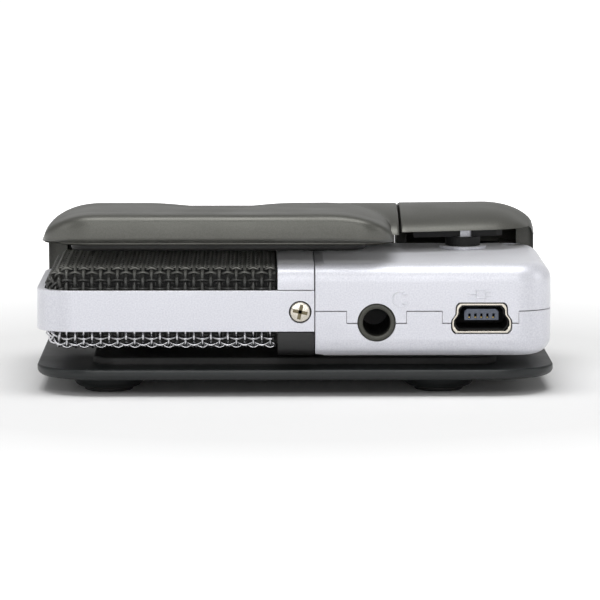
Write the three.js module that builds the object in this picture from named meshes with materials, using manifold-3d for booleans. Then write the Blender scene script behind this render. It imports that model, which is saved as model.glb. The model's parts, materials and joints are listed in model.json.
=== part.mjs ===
// Folding clip-on USB condenser microphone, folded shut.
// A base plate on rubber feet carries a rear hinge pin. An arm and a clamping jaw turn on the pin, and the
// microphone hangs under the arm on a swivel. Millimetres, +Z up, X to the right, Y from front to back, with
// the origin under the middle of the base plate. The port side of the microphone faces -Y.
import * as THREE from "three";
import { mergeVertices } from "three/addons/utils/BufferGeometryUtils.js";
import Module from "manifold-3d";

// Driving dimensions
const WIDTH = 69; // base plate, left to right
const DEPTH = 43; // base plate, front to back
const HEIGHT = 24.4; // from the floor to the crown of the jaw
const PLATE_BOTTOM = 2.2;
const PLATE_TOP = 3.6;
const PLATE_CORNER = 8.5;
const FOOT = { r: 3.25, top: 0.45, xs: [-24.95, 19.2], ys: [-13, 13] };
const BOSS = { bottomR: 3.9, waistR: 4.65, waist: 1.2, topR: 4.9 }; // bowl that holds a foot
const BASE_PAD = { x: 27, front: -15.7, back: 9, top: 4.6 };

const PIN = { y: 16.5, z: 13.5, r: 1.25, hole: 1.35, end: 32.8 };
const BARREL = 3.4; // outer radius of every hinge knuckle
const LUGS = [
  [-24, -15],
  [22.5, 29],
];
const SPRINGS = [
  [-8.8, -3.2],
  [-2.8, 2.8],
];
const REAR = 21.5; // outer face of the rear walls
const WALL_INNER = 19.2; // inner face of the rear walls
const WALL_BOTTOM = PIN.z - BARREL;
const ROOF = { y: 4, fall: 0.09, rearTop: 22.1, corner: 17.8 }; // it falls from y to the rear by fall per mm

const JAW = { left: -34.3, right: 14.1, rim: 20.06, lobeLeft: -33.65, lobeRight: 13 };
const JAW_KNUCKLES = [
  [-34.25, -24.3],
  [-14.7, -9.3],
  [3.3, 14.05],
];
const JAW_SLOTS = [
  [-24.3, -14.7],
  [-9.3, 3.3],
];
const JAW_SLOT_TOP = 19;
const JAW_PAD = { left: -29.9, right: 9.4, front: -16.5, back: 8, bottom: 18.9, top: 20.1 };

const ARM = { left: 14.4, right: 34.1, rim: 20.4, top: 23.3, front: -6.5 };
const ARM_KNUCKLES = [
  [14.35, 22.2],
  [29.3, 34.05],
];
const ARM_SLOT = [22.2, 29.3];
const ARM_SLOT_TOP = 16.2;
const ARM_PLATE = { left: 16.2, right: 28.4, front: -3.2, back: 12.5, bottom: 19.35, top: 20.15 };
const ARM_SCREWS = [
  [18.6, 9.5],
  [26, 9.5],
];
const PIVOT = { x: 23, y: 0 };
const FLANGE = { r: 3.2, top: 18 };

const MIC = { left: -34.3, right: 33.9, front: -21.4, back: 9.2, bottom: 5.3, top: 17.6 };
const MIC_EDGE = 2.4; // rounding of the long top and bottom edges
const MIC_CORNER = 5;
const SKIN = 1.3; // housing wall
const SEAM = 2.5; // where the head ends and the housing starts
const SPLIT = 11.4; // parting line of the housing
const STEP_SPLIT = 9.8; // parting line where it steps down round the sockets
const HAIRLINE = 0.06; // gap left between two pieces that touch
const BAND = { bottom: 8.7, top: 14.1, thick: 1 };
const COLLAR = { left: -2.4, right: 2.4 };
const JACK = { x: 10.65, z: 9.9, r: 2.5, bore: 1.8 };
const USB = { x: 24.5, bottom: 8.5, top: 12.42, halfTop: 3.32, half: 3.9, wall: 0.38, back: -12.6 };
const TONGUE = { half: 2.25, bottom: 10.15, top: 11.6, front: -20.6 };
const BOARD = { left: 4, right: 32.2, front: -19.7, back: 7.4, bottom: 12.85, top: 13.8 };
const HOUSING_SCREWS = [
  [6, 5],
  [30.4, 5],
];
const HEAD_SCREW = { x: 0.58, z: 11.3, r: 1.35 };
const SWITCH = { x: 12, z: 10.8, slotHalf: 3.8, knobHalf: 1.5, knobHeight: 2 };
const CHIP_SIZE = { x0: 15, x1: 22, y0: -8, y1: -1, thick: 1 };
const LENS = { x: 17, y: -9, r: 1 };
const GRILLE = { inset: 1.15, thick: 0.5, upperTop: 17.4, lowerBottom: 6.1, right: -2.5 };
const CAPSULES = { cardioid: [-20, -6.1, 4.85], omni: [-8.5, -6.1, 3] };

const X_AXIS = new THREE.Vector3(1, 0, 0);
const Y_AXIS = new THREE.Vector3(0, 1, 0);
const Z_AXIS = new THREE.Vector3(0, 0, 1);

const wasm = await Module();
wasm.setup();

// Solids
function solid(geometry) {
  const bare = geometry.index ? geometry.toNonIndexed() : geometry.clone();
  const points = new THREE.BufferGeometry().setAttribute("position", bare.getAttribute("position"));
  const merged = mergeVertices(points, 1e-4);
  const shape = { numProp: 3, vertProperties: merged.attributes.position.array };
  return new wasm.Manifold(new wasm.Mesh({ ...shape, triVerts: new Uint32Array(merged.index.array) }));
}

function cut(body, ...tools) {
  return tools.reduce((left, tool) => left.subtract(tool), body);
}

function join(first, ...others) {
  return others.reduce((sum, other) => sum.add(other), first);
}

function geometryOf(body) {
  const mesh = body.getMesh();
  const geometry = new THREE.BufferGeometry();
  geometry.setAttribute("position", new THREE.BufferAttribute(mesh.vertProperties, 3));
  geometry.setIndex(new THREE.BufferAttribute(mesh.triVerts, 1));
  const faceted = geometry.toNonIndexed();
  faceted.computeVertexNormals();
  return faceted;
}

function box(x0, x1, y0, y1, z0, z1) {
  const block = new THREE.BoxGeometry(x1 - x0, y1 - y0, z1 - z0);
  return solid(block.translate((x0 + x1) / 2, (y0 + y1) / 2, (z0 + z1) / 2));
}

function rodX(y, z, r, x0, x1, sides = 24) {
  const rod = new THREE.CylinderGeometry(r, r, x1 - x0, sides).rotateZ(-Math.PI / 2);
  return solid(rod.translate((x0 + x1) / 2, y, z));
}

function rodY(x, z, r, y0, y1, sides = 24) {
  return solid(new THREE.CylinderGeometry(r, r, y1 - y0, sides).translate(x, (y0 + y1) / 2, z));
}

function rodZ(x, y, r, z0, z1, sides = 24, rTop = r) {
  const rod = new THREE.CylinderGeometry(rTop, r, z1 - z0, sides).rotateX(Math.PI / 2);
  return solid(rod.translate(x, y, (z0 + z1) / 2));
}

function extruded(shape, depth, basis, curveSegments) {
  const settings = { depth, bevelEnabled: false, curveSegments };
  return new THREE.ExtrudeGeometry(shape, settings).applyMatrix4(new THREE.Matrix4().makeBasis(...basis));
}

// A (y, z) outline carried along X.
function alongX(shape, x0, x1, curveSegments = 6) {
  return solid(extruded(shape, x1 - x0, [Y_AXIS, Z_AXIS, X_AXIS], curveSegments).translate(x0, 0, 0));
}

// An (x, z) outline carried along Y.
function alongY(shape, y0, y1, curveSegments = 6) {
  const basis = [X_AXIS, Z_AXIS, Y_AXIS.clone().negate()];
  return solid(extruded(shape, y1 - y0, basis, curveSegments).translate(0, y1, 0));
}

// An (x, z) outline, true at the roof's crest, carried along Y while it falls towards the rear.
function alongRoof(shape, y0, y1, curveSegments = 6) {
  const forward = new THREE.Vector3(0, -1, ROOF.fall);
  const block = extruded(shape, y1 - y0, [X_AXIS, Z_AXIS, forward], curveSegments);
  return solid(block.translate(0, y1, (ROOF.y - y1) * ROOF.fall));
}

// An (x, y) outline carried up Z.
function alongZ(shape, z0, z1, curveSegments = 6) {
  return solid(extruded(shape, z1 - z0, [X_AXIS, Y_AXIS, Z_AXIS], curveSegments).translate(0, 0, z0));
}

// An (x, y) outline carried up Z, with its top and bottom edges rounded.
function pillow(shape, z0, z1, edge, steps = 3, curveSegments = 4) {
  const settings = {
    depth: z1 - z0 - 2 * edge,
    bevelThickness: edge,
    bevelSize: edge,
    bevelOffset: -edge,
    bevelSegments: steps,
    curveSegments,
  };
  return solid(new THREE.ExtrudeGeometry(shape, settings).translate(0, 0, z0 + edge));
}

// A rectangle with a rounding of its own at each corner, from the front left one round to the back left one.
function plan(x0, x1, y0, y1, frontLeft, frontRight, backRight, backLeft) {
  const outline = new THREE.Shape();
  outline.moveTo(x0 + frontLeft, y0);
  outline.lineTo(x1 - frontRight, y0);
  outline.absarc(x1 - frontRight, y0 + frontRight, frontRight, -Math.PI / 2, 0, false);
  outline.lineTo(x1, y1 - backRight);
  outline.absarc(x1 - backRight, y1 - backRight, backRight, 0, Math.PI / 2, false);
  outline.lineTo(x0 + backLeft, y1);
  outline.absarc(x0 + backLeft, y1 - backLeft, backLeft, Math.PI / 2, Math.PI, false);
  outline.lineTo(x0, y0 + frontLeft);
  outline.absarc(x0 + frontLeft, y0 + frontLeft, frontLeft, Math.PI, Math.PI * 1.5, false);
  return outline;
}

function micPlan(inset) {
  const { left, right, front, back } = MIC;
  return evenPlan(left + inset, right - inset, front + inset, back - inset, MIC_CORNER - inset);
}

const evenPlan = (x0, x1, y0, y1, corner) => plan(x0, x1, y0, y1, corner, corner, corner, corner);

const outlineOf = (points) => new THREE.Shape(points.map(([u, v]) => new THREE.Vector2(u, v)));

// Materials
function finish(color, roughness, metalness = 0) {
  return new THREE.MeshStandardMaterial({ color, roughness, metalness });
}

const GUNMETAL = finish(0x4c4c47, 0.42, 0.5);
const BASE_BLACK = finish(0x26292b, 0.4, 0.4);
const RUBBER = finish(0x1b1b1c, 0.9);
const SILVER = finish(0xc9cad2, 0.35, 0.6);
const BLACK_PLASTIC = finish(0x151516, 0.5);
const BLACK_MESH = finish(0x202020, 0.5, 0.5);
const CHROME_MESH = finish(0xcfd2d6, 0.25, 1);
const LINER = finish(0x0c0c0c, 0.95);
const STEEL = finish(0xb4b2ac, 0.3, 1);
const NICKEL = finish(0xc4bfb2, 0.25, 1);
const OLIVE_METAL = finish(0x5a5a50, 0.4, 0.8);
const BOARD_GREEN = finish(0x1f5a38, 0.5);
const CHIP = finish(0x18181a, 0.6);
const TONGUE_BLUE = finish(0x6a7686, 0.5);
const LED_CLEAR = finish(0xe8eef0, 0.15);
const WIRE = finish(0x8f2020, 0.6);

const microphone = new THREE.Group();

function add(group, name, body, material) {
  const mesh = new THREE.Mesh(geometryOf(body), material);
  mesh.name = name;
  group.add(mesh);
}

// Base: plate, hinge lugs, feet, pad, pin and springs
function basePlate() {
  const outline = evenPlan(-WIDTH / 2, WIDTH / 2, -DEPTH / 2, DEPTH / 2, PLATE_CORNER);
  let body = pillow(outline, PLATE_BOTTOM, PLATE_TOP, 0.3, 1, 7);
  for (const x of FOOT.xs) {
    for (const y of FOOT.ys) {
      const bowl = rodZ(x, y, BOSS.bottomR, FOOT.top + 0.03, BOSS.waist, 24, BOSS.waistR);
      body = join(body, bowl, rodZ(x, y, BOSS.waistR, BOSS.waist, PLATE_BOTTOM + 0.1, 24, BOSS.topR));
    }
  }
  for (const [x0, x1] of LUGS) {
    const web = outlineOf([
      [PIN.y - BARREL, PLATE_TOP - 0.5],
      [PIN.y + 1.5, PLATE_TOP - 0.5],
      [PIN.y + 1.5, PIN.z],
      [PIN.y - BARREL, PIN.z],
    ]);
    body = join(body, alongX(web, x0, x1), rodX(PIN.y, PIN.z, BARREL, x0, x1));
  }
  return cut(body, rodX(PIN.y, PIN.z, PIN.hole, -WIDTH / 2, WIDTH / 2));
}

function baseGripPad() {
  const { x, front, back, top } = BASE_PAD;
  return pillow(evenPlan(-x, x, front, back, 3), PLATE_TOP + 0.03, top, 0.25, 1);
}

function foot(x, y) {
  const { r, top } = FOOT;
  return join(rodZ(x, y, r - 0.2, 0, 0.2, 24, r), rodZ(x, y, r, 0.2, top, 24));
}

function clipSpring(x0, x1) {
  const legDepth = 0.8;
  const coil = rodX(PIN.y, PIN.z, 2.4, x0, x1, 20);
  const lowerLeg = box(x0, x0 + legDepth, PIN.y - 2.3, PIN.y - 1.5, PLATE_TOP + 0.05, PIN.z);
  const upperLeg = box(x1 - legDepth, x1, PIN.y - 2.3, PIN.y - 1.5, PIN.z, PIN.z + 5);
  return cut(join(coil, lowerLeg, upperLeg), rodX(PIN.y, PIN.z, 1.6, x0 - 1, x1 + 1, 20));
}

// A knuckle of the hinge, joined to the rear wall behind it.
function knuckle(x0, x1) {
  const web = box(x0, x1, PIN.y, WALL_INNER + 0.5, WALL_BOTTOM, PIN.z + 2.6);
  return join(rodX(PIN.y, PIN.z, BARREL, x0, x1), web);
}

// Jaw
function jawLobeSection() {
  const s = new THREE.Shape();
  s.moveTo(-21.3, JAW.rim);
  s.lineTo(-21.5, 20.8);
  s.quadraticCurveTo(-21, 23.6, -16.8, 24.15);
  s.quadraticCurveTo(-14, HEIGHT, -11, HEIGHT);
  s.quadraticCurveTo(-4, HEIGHT, ROOF.y + 1, 23.4);
  s.lineTo(ROOF.y + 1, JAW.rim);
  return s;
}

// The outline of the rear beam of the jaw or the arm: a sloping front, the roof and the rear wall.
function beamSection(front, rim, crest) {
  const s = new THREE.Shape();
  s.moveTo(front, rim);
  s.quadraticCurveTo(front + 1.3, 22.6, ROOF.y, crest);
  s.quadraticCurveTo(10, crest - 0.5, 16.8, ROOF.rearTop);
  s.quadraticCurveTo(REAR, ROOF.rearTop - 0.4, REAR, ROOF.corner);
  s.lineTo(REAR, WALL_BOTTOM + 0.8);
  s.quadraticCurveTo(REAR, WALL_BOTTOM, REAR - 0.8, WALL_BOTTOM);
  s.lineTo(PIN.y - 2, WALL_BOTTOM);
  s.lineTo(13, rim);
  return s;
}

// The (x, z) outline of the jaw at the roof's crest, with the thumb scoop in its top edge.
function jawFace(left, corner) {
  const s = new THREE.Shape();
  s.moveTo(left, WALL_BOTTOM - 2);
  s.lineTo(left, 18.9);
  s.quadraticCurveTo(left + 1.5, 23.1, -26.9, 23.45);
  s.lineTo(-22, 23.45);
  s.bezierCurveTo(-17, 23.4, -16, 22.85, -11.5, 22.85);
  s.bezierCurveTo(-7, 22.85, -5, 23.5, 0, 23.55);
  s.lineTo(corner, 23.7);
  if (corner < JAW.lobeRight) {
    s.quadraticCurveTo(11.3, 22.8, JAW.lobeRight, 19.4);
    s.lineTo(JAW.lobeRight, WALL_BOTTOM - 2);
  } else {
    s.lineTo(corner, WALL_BOTTOM - 2);
  }
  return s;
}

function jawHollow() {
  const s = new THREE.Shape();
  s.moveTo(-19.8, WALL_BOTTOM - 1);
  s.lineTo(-19.8, 20.8);
  s.quadraticCurveTo(-19.4, 22.2, -16, 22.5);
  s.lineTo(-4, 22.3);
  s.lineTo(ROOF.y, 21.7);
  s.lineTo(15.5, 20.6);
  s.quadraticCurveTo(WALL_INNER, 20.3, WALL_INNER, 17.6);
  s.lineTo(WALL_INNER, WALL_BOTTOM - 1);
  return s;
}

// The (x, z) outline that keeps the hollow of the jaw inside its sloping ends.
function jawInside(left, right) {
  const s = new THREE.Shape();
  s.moveTo(left, WALL_BOTTOM - 3);
  s.lineTo(left, 18.2);
  s.quadraticCurveTo(left + 1.3, 21.5, -26.5, 22);
  s.lineTo(3.5, 22);
  s.quadraticCurveTo(right - 1.8, 21.3, right, 18);
  s.lineTo(right, WALL_BOTTOM - 3);
  return s;
}

function clipJaw() {
  const lobeSection = alongX(jawLobeSection(), JAW.left, JAW.right);
  const lobePlan = alongZ(plan(JAW.lobeLeft, JAW.lobeRight, -21.5, 10, 7, 4.5, 0.5, 7), 19, 26);
  const lobe = lobeSection.intersect(alongRoof(jawFace(JAW.lobeLeft, 4.5), -23, 6)).intersect(lobePlan);
  const beam = alongX(beamSection(-6.8, JAW.rim, 23.7), JAW.left, JAW.right);
  const beamPlan = alongZ(plan(JAW.left, JAW.right, -7, REAR, 2, 0.3, 0.3, 5), 9, 26);
  const rear = beam.intersect(alongRoof(jawFace(JAW.left, JAW.right), -8, 22)).intersect(beamPlan);
  const inside = alongX(jawHollow(), JAW.left, JAW.right);
  const lobeInside = inside.intersect(alongRoof(jawInside(JAW.left + 2.6, 11.1), -23, -4.9));
  const rearInside = inside.intersect(alongRoof(jawInside(JAW.left + 2.6, 11.9), -5, 25));
  const slots = JAW_SLOTS.map(([x0, x1]) => box(x0, x1, PIN.y - 6, REAR + 1, WALL_BOTTOM - 1, JAW_SLOT_TOP));
  const knuckles = JAW_KNUCKLES.map(([x0, x1]) => knuckle(x0, x1));
  const shell = cut(join(lobe, rear), lobeInside, rearInside, ...slots);
  return cut(join(shell, ...knuckles), rodX(PIN.y, PIN.z, PIN.hole, JAW.left - 1, JAW.right + 1));
}

function jawGripPad() {
  const { left, right, front, back, bottom, top } = JAW_PAD;
  return pillow(evenPlan(left, right, front, back, 3), bottom, top, 0.4, 1);
}

// Arm
function armFace() {
  const s = new THREE.Shape();
  s.moveTo(ARM.left, WALL_BOTTOM - 2);
  s.lineTo(ARM.right, WALL_BOTTOM - 2);
  s.lineTo(ARM.right, 19.5);
  s.quadraticCurveTo(31, ARM.top - 0.1, 26.5, ARM.top + 0.05);
  s.lineTo(ARM.left, ARM.top + 0.05);
  return s;
}

function armPlan() {
  const s = new THREE.Shape();
  s.moveTo(ARM.left, ARM.front);
  s.lineTo(27.5, -3.2);
  s.quadraticCurveTo(32.6, -1.6, 33.1, 5);
  s.lineTo(ARM.right, 16.5);
  s.lineTo(ARM.right, REAR - 5);
  s.absarc(ARM.right - 5, REAR - 5, 5, 0, Math.PI / 2, false);
  s.lineTo(ARM.left, REAR);
  return s;
}

function armHollow() {
  const s = new THREE.Shape();
  s.moveTo(-3.6, WALL_BOTTOM - 1);
  s.lineTo(-3.6, 20.6);
  s.lineTo(0, 21.6);
  s.lineTo(ROOF.y, 22);
  s.lineTo(15.5, 20.7);
  s.quadraticCurveTo(WALL_INNER, 20.3, WALL_INNER, 17.6);
  s.lineTo(WALL_INNER, WALL_BOTTOM - 1);
  return s;
}

// The (x, z) outline that keeps the hollow of the arm inside its sloping end.
function armInside() {
  const s = new THREE.Shape();
  s.moveTo(ARM.left + 1.4, WALL_BOTTOM - 3);
  s.lineTo(31.6, WALL_BOTTOM - 3);
  s.lineTo(31.6, 18.4);
  s.quadraticCurveTo(29.6, 21.7, 25.5, 22.2);
  s.lineTo(ARM.left + 1.4, 22.2);
  return s;
}

function micArm() {
  const beam = alongX(beamSection(ARM.front, ARM.rim, ARM.top), ARM.left, ARM.right);
  const shell = beam.intersect(alongRoof(armFace(), -8, 22)).intersect(alongZ(armPlan(), 9, 26));
  const inside = outlineOf([
    [ARM.left + 1.4, -3.6],
    [28, -2],
    [31.6, 3.5],
    [31.6, REAR],
    [ARM.left + 1.4, REAR],
  ]);
  const hollow = alongX(armHollow(), ARM.left, ARM.right)
    .intersect(alongZ(inside, 9, 26))
    .intersect(alongRoof(armInside(), -9, 25));
  const slot = box(ARM_SLOT[0], ARM_SLOT[1], PIN.y - 6, REAR + 1, WALL_BOTTOM - 1, ARM_SLOT_TOP);
  const bosses = ARM_SCREWS.map(([x, y]) => rodZ(x, y, 1.6, ARM_PLATE.top + 0.05, 22));
  const holes = ARM_SCREWS.map(([x, y]) => rodZ(x, y, 0.85, ARM_PLATE.top, 21.3, 16));
  const knuckles = ARM_KNUCKLES.map(([x0, x1]) => knuckle(x0, x1));
  const body = join(cut(shell, hollow, slot), ...bosses, ...knuckles);
  return cut(body, ...holes, rodX(PIN.y, PIN.z, PIN.hole, ARM.left - 1, ARM.right + 1));
}

function armPlate() {
  const { left, right, front, back, bottom, top } = ARM_PLATE;
  const outline = outlineOf([
    [left, front],
    [right - 0.8, front + 2.6],
    [right, front + 3.4],
    [right, back],
    [left, back],
  ]);
  const holes = ARM_SCREWS.map(([x, y]) => rodZ(x, y, 0.95, bottom - 1, top + 1, 16));
  return cut(alongZ(outline, bottom, top), rodZ(PIVOT.x, PIVOT.y, 1.8, bottom - 1, top + 1), ...holes);
}

function crossRecess(length, depth) {
  const arm = box(-length / 2, length / 2, -0.18, 0.18, -depth, 0.1);
  return join(arm, box(-0.18, 0.18, -length / 2, length / 2, -depth, 0.1));
}

// A pan head screw that stands along Z, head up, with a cross recess.
function screwUp(headR, headHeight, shankR, shankLength) {
  const head = rodZ(0, 0, headR, -headHeight, 0, 20, headR * 0.86);
  const shank = rodZ(0, 0, shankR, -headHeight - shankLength, -headHeight + 0.1, 12);
  return cut(join(head, shank), crossRecess(headR * 1.15, headHeight * 0.6));
}

// Microphone
const micForm = () => pillow(micPlan(0), MIC.bottom, MIC.top, MIC_EDGE, 4, 4);

function sliceX(body, x0, x1) {
  return body.intersect(box(x0, x1, -40, 40, -5, 40));
}

function housingShell() {
  const hollow = pillow(micPlan(SKIN), MIC.bottom + SKIN, MIC.top - SKIN, 1.1, 1);
  return sliceX(cut(micForm(), hollow), SEAM + HAIRLINE, MIC.right + 1);
}

function usbOutline(grow) {
  const { x, bottom, top, half, halfTop } = USB;
  const shoulder = bottom + 1.65;
  const neck = shoulder + 0.8;
  return outlineOf([
    [x - half - grow, bottom - grow],
    [x + half + grow, bottom - grow],
    [x + half + grow, shoulder],
    [x + halfTop + grow, neck],
    [x + halfTop + grow, top + grow],
    [x - halfTop - grow, top + grow],
    [x - halfTop - grow, neck],
    [x - half - grow, shoulder],
  ]);
}

function portHoles() {
  const jack = rodY(JACK.x, JACK.z, JACK.r + 0.15, -23, -19);
  const usb = alongY(usbOutline(0.25), -23, -19);
  const slot = SWITCH.slotHalf;
  const knob = box(SWITCH.x - slot, SWITCH.x + slot, 7, 10, SWITCH.z - 1.2, SWITCH.z + 1.2);
  return [jack, usb, knob];
}

// The stretch of the housing's near wall, above the stepped parting line, beside each socket.
function steps(gap) {
  const top = SPLIT + 0.5;
  const jack = box(6.7 + gap, 14.6 - gap, -23, -19.9, STEP_SPLIT + gap, top);
  const usb = box(19.3 + gap, 29.4 - gap, -23, -19.9, STEP_SPLIT + gap, top);
  return [jack, usb];
}

function housingUpper() {
  const region = join(box(-50, 50, -50, 50, SPLIT + HAIRLINE / 2, 30), ...steps(HAIRLINE / 2));
  const screws = HOUSING_SCREWS.map(([x, y]) =>
    join(rodZ(x, y, 1.75, MIC.top - 0.8, MIC.top + 1), rodZ(x, y, 0.95, 11, MIC.top, 16)),
  );
  const bosses = HOUSING_SCREWS.map(([x, y]) => rodZ(x, y, 1.8, BOARD.top + 0.1, MIC.top - 1));
  return cut(join(housingShell().intersect(region), ...bosses), ...portHoles(), ...screws);
}

function housingLower() {
  const region = cut(box(-50, 50, -50, 50, 0, SPLIT - HAIRLINE / 2), ...steps(-HAIRLINE / 2));
  const bosses = HOUSING_SCREWS.map(([x, y]) => rodZ(x, y, 1.6, MIC.bottom + 1, BOARD.bottom - 0.1));
  const holes = HOUSING_SCREWS.map(([x, y]) => rodZ(x, y, 0.8, 8.5, 14, 16));
  const lens = rodZ(LENS.x, LENS.y, LENS.r + 0.05, 4, 8);
  return cut(join(housingShell().intersect(region), ...bosses), ...portHoles(), ...holes, lens);
}

function headBand() {
  const ring = cut(
    pillow(micPlan(0), BAND.bottom, BAND.top, 0.15, 1),
    alongZ(micPlan(BAND.thick), BAND.bottom - 1, BAND.top + 1),
  );
  const screw = rodY(HEAD_SCREW.x, HEAD_SCREW.z, HEAD_SCREW.r + 0.12, -25, 15);
  return cut(sliceX(ring, MIC.left - 1, SEAM - HAIRLINE), screw);
}

function headFrame() {
  const wall = BAND.thick + 0.08;
  const outer = alongZ(micPlan(wall), BAND.bottom + 0.4, BAND.top - 0.4);
  const pocket = alongZ(micPlan(wall + 1.1), 0, 30);
  const openPocket = sliceX(pocket, MIC.left, COLLAR.left - 0.6);
  const above = openPocket.intersect(box(-50, 50, -50, 50, 11.6, 30));
  const below = openPocket.intersect(box(-50, 50, -50, 50, 0, 10.6));
  const holes = Object.values(CAPSULES).map(([x, y, r]) => rodZ(x, y, r + 0.1, 8, 16, 28));
  const screws = rodY(HEAD_SCREW.x, HEAD_SCREW.z, 0.7, -25, 15, 12);
  return cut(sliceX(outer, MIC.left, SEAM - HAIRLINE), above, below, ...holes, screws);
}

function collar(z0, z1) {
  const hollow = pillow(micPlan(SKIN), MIC.bottom + SKIN, MIC.top - SKIN, 1.1, 1);
  const ring = sliceX(cut(micForm(), hollow), COLLAR.left, COLLAR.right);
  return ring.intersect(box(-10, 10, -50, 50, z0, z1));
}

// A pan of sheet that bulges away from the band, open where it meets the collar.
function pan(inset, rim, crown, skin, edge) {
  const up = crown > rim;
  const [z0, z1] = up ? [rim - 8, crown] : [crown, rim + 8];
  const [in0, in1] = up ? [rim - 12, crown - skin] : [crown + skin, rim + 12];
  const outer = pillow(micPlan(inset), z0, z1, edge, 3, 4);
  const inner = pillow(micPlan(inset + skin), in0, in1, Math.max(edge - skin, 0.3), 2, 4);
  const keep = up ? box(-50, GRILLE.right, -50, 50, rim, 30) : box(-50, GRILLE.right, -50, 50, 0, rim);
  return cut(outer, inner).intersect(keep);
}

function mainBoard() {
  const { left, right, front, back, bottom, top } = BOARD;
  const sheet = alongZ(plan(left, right, front, back, 1, 3.5, 3.5, 1), bottom, top);
  const notches = HOUSING_SCREWS.map(([x, y]) => rodZ(x, y, 2.1, bottom - 1, top + 1));
  return cut(sheet, ...notches);
}

function usbShell() {
  const outer = alongY(usbOutline(0), MIC.front + 0.1, USB.back);
  const inner = alongY(usbOutline(-USB.wall), MIC.front - 1, USB.back - USB.wall);
  return cut(outer, inner);
}

function jackCollar() {
  const ring = rodY(JACK.x, JACK.z, JACK.r, MIC.front + 0.05, -19.75, 32);
  return cut(ring, rodY(JACK.x, JACK.z, JACK.bore, -23, -19, 32));
}

function jackBody() {
  const block = box(JACK.x - 3, JACK.x + 3, -19.7, -7.5, 7.35, BOARD.bottom - 0.1);
  return cut(block, rodY(JACK.x, JACK.z, JACK.bore, -21, -8.5, 32));
}

function switchKnob() {
  const { x, z, knobHalf, knobHeight } = SWITCH;
  const body = box(x - knobHalf, x + knobHalf, 7.75, 9.9, z - knobHeight / 2, z + knobHeight / 2);
  const ridges = [-0.8, 0, 0.8].map((dx) => box(x + dx - 0.15, x + dx + 0.15, 9.7, 10.5, 5, 15));
  return cut(body, ...ridges);
}

function capsuleLead() {
  const route = new THREE.CatmullRomCurve3([
    new THREE.Vector3(-17.5, -6.1, 14.2),
    new THREE.Vector3(-13, -8, 14.9),
    new THREE.Vector3(-6, -11, 15),
    new THREE.Vector3(1, -11.5, 15.1),
    new THREE.Vector3(6, -10, 14.5),
  ]);
  const section = new THREE.Shape().absarc(0, 0, 0.4, 0, Math.PI * 2, false);
  const settings = { steps: 14, curveSegments: 4, extrudePath: route, bevelEnabled: false };
  return solid(new THREE.ExtrudeGeometry(section, settings));
}

// Base
const base = new THREE.Group();
add(base, "base_plate", basePlate(), BASE_BLACK);
add(base, "base_grip_pad", baseGripPad(), RUBBER);
for (const [i, side] of ["left", "right"].entries()) {
  add(base, `foot_front_${side}`, foot(FOOT.xs[i], FOOT.ys[0]), RUBBER);
  add(base, `foot_rear_${side}`, foot(FOOT.xs[i], FOOT.ys[1]), RUBBER);
  add(base, `clip_spring_${side}`, clipSpring(...SPRINGS[i]), STEEL);
}
add(base, "hinge_pin", rodX(PIN.y, PIN.z, PIN.r, -PIN.end, PIN.end), STEEL);

// Jaw
const jaw = new THREE.Group();
add(jaw, "clip_jaw", clipJaw(), GUNMETAL);
add(jaw, "jaw_grip_pad", jawGripPad(), RUBBER);
add(jaw, "pin_cap_left", rodX(PIN.y, PIN.z, PIN.r, JAW.left + 0.1, -PIN.end - 0.1), BLACK_PLASTIC);

// Arm
const arm = new THREE.Group();
add(arm, "mic_arm", micArm(), GUNMETAL);
add(arm, "arm_plate", armPlate(), STEEL);
add(arm, "pin_cap_right", rodX(PIN.y, PIN.z, PIN.r, PIN.end + 0.1, ARM.right - 0.1), BLACK_PLASTIC);
const washerDisc = rodZ(PIVOT.x, PIVOT.y, 2.4, FLANGE.top + 0.05, ARM_PLATE.bottom - 0.05, 32);
const washer = cut(washerDisc, rodZ(PIVOT.x, PIVOT.y, 1.8, 17, 22));
add(arm, "friction_washer", washer, BLACK_PLASTIC);
ARM_SCREWS.forEach(([x, y], i) => {
  const screw = screwUp(1.5, 0.6, 0.75, 1.7).rotate([180, 0, 0]).translate([x, y, ARM_PLATE.bottom - 0.65]);
  add(arm, `arm_screw_${["left", "right"][i]}`, screw, STEEL);
});

// Microphone
const mic = new THREE.Group();
add(mic, "housing_upper", housingUpper(), SILVER);
add(mic, "housing_lower", housingLower(), SILVER);
add(mic, "head_band", headBand(), SILVER);
add(mic, "head_frame", headFrame(), BLACK_PLASTIC);
add(mic, "collar_upper", collar(BAND.top + 0.1, MIC.top), SILVER);
add(mic, "collar_lower", collar(MIC.bottom, BAND.bottom - 0.1), BLACK_PLASTIC);
const { inset, thick, upperTop, lowerBottom } = GRILLE;
const LINER_GAP = thick + 0.2;
add(mic, "grille_upper", pan(inset, BAND.top - 0.3, upperTop, thick, 2.4), BLACK_MESH);
add(mic, "grille_lower", pan(inset, BAND.bottom + 0.3, lowerBottom, thick, 2), CHROME_MESH);
add(mic, "liner_upper", pan(inset + LINER_GAP, BAND.top - 0.3, upperTop - LINER_GAP, 0.4, 1.8), LINER);
add(mic, "liner_lower", pan(inset + LINER_GAP, BAND.bottom + 0.3, lowerBottom + LINER_GAP, 0.4, 1.4), LINER);
const [cardioidX, cardioidY, cardioidR] = CAPSULES.cardioid;
add(mic, "capsule_cardioid", rodZ(cardioidX, cardioidY, cardioidR, 8.2, 13.4, 28), NICKEL);
const [omniX, omniY, omniR] = CAPSULES.omni;
add(mic, "capsule_omni", rodZ(omniX, omniY, omniR, 10.9, 14, 24), NICKEL);
add(mic, "capsule_lead", capsuleLead(), WIRE);
add(mic, "main_board", mainBoard(), BOARD_GREEN);
const { x0: chipLeft, x1: chipRight, y0: chipFront, y1: chipBack, thick: chipThick } = CHIP_SIZE;
const chipBottom = BOARD.top + 0.05;
const chipTop = chipBottom + chipThick;
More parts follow.
